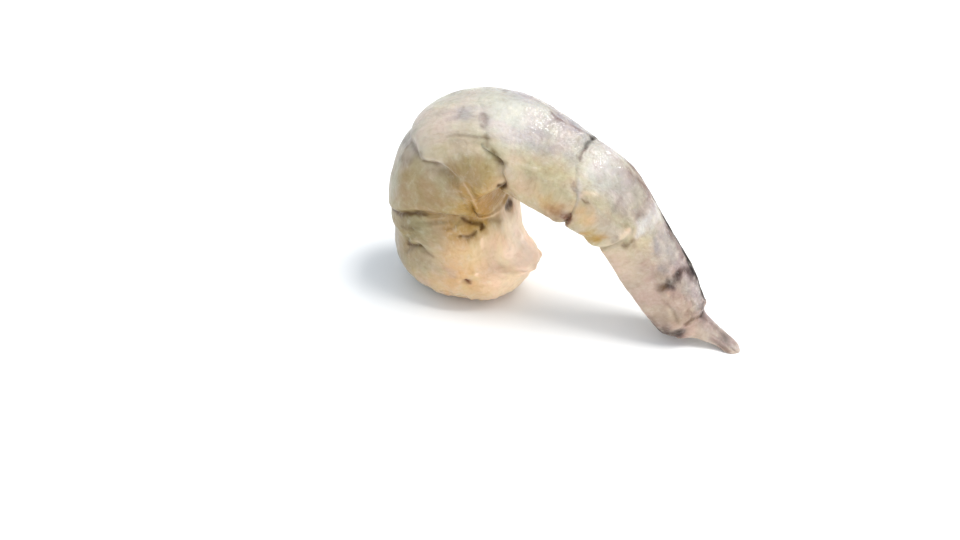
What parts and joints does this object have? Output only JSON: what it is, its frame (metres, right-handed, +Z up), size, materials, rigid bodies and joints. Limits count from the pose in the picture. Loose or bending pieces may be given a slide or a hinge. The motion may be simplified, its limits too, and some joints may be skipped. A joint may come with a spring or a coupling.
{
  "type": "raw peeled prawn",
  "caption": "Raw peeled headless prawn tail of one piece, with muscle rings along a body that stands as an arch on its broad front end and its narrow tail tip.",
  "frame": {"origin": "middle of the bounding box's bottom, on the surface that the prawn stands on", "axes": "+X from the broad head end to the tail tip, +Y across the body, +Z up"},
  "size_m": [0.0622, 0.0212, 0.0369],
  "materials": {
    "flesh": "wet, pale, slightly see-through raw flesh"
  },
  "bodies": {
    "root": {"prawn": "flesh"}
  },
  "joints": []
}
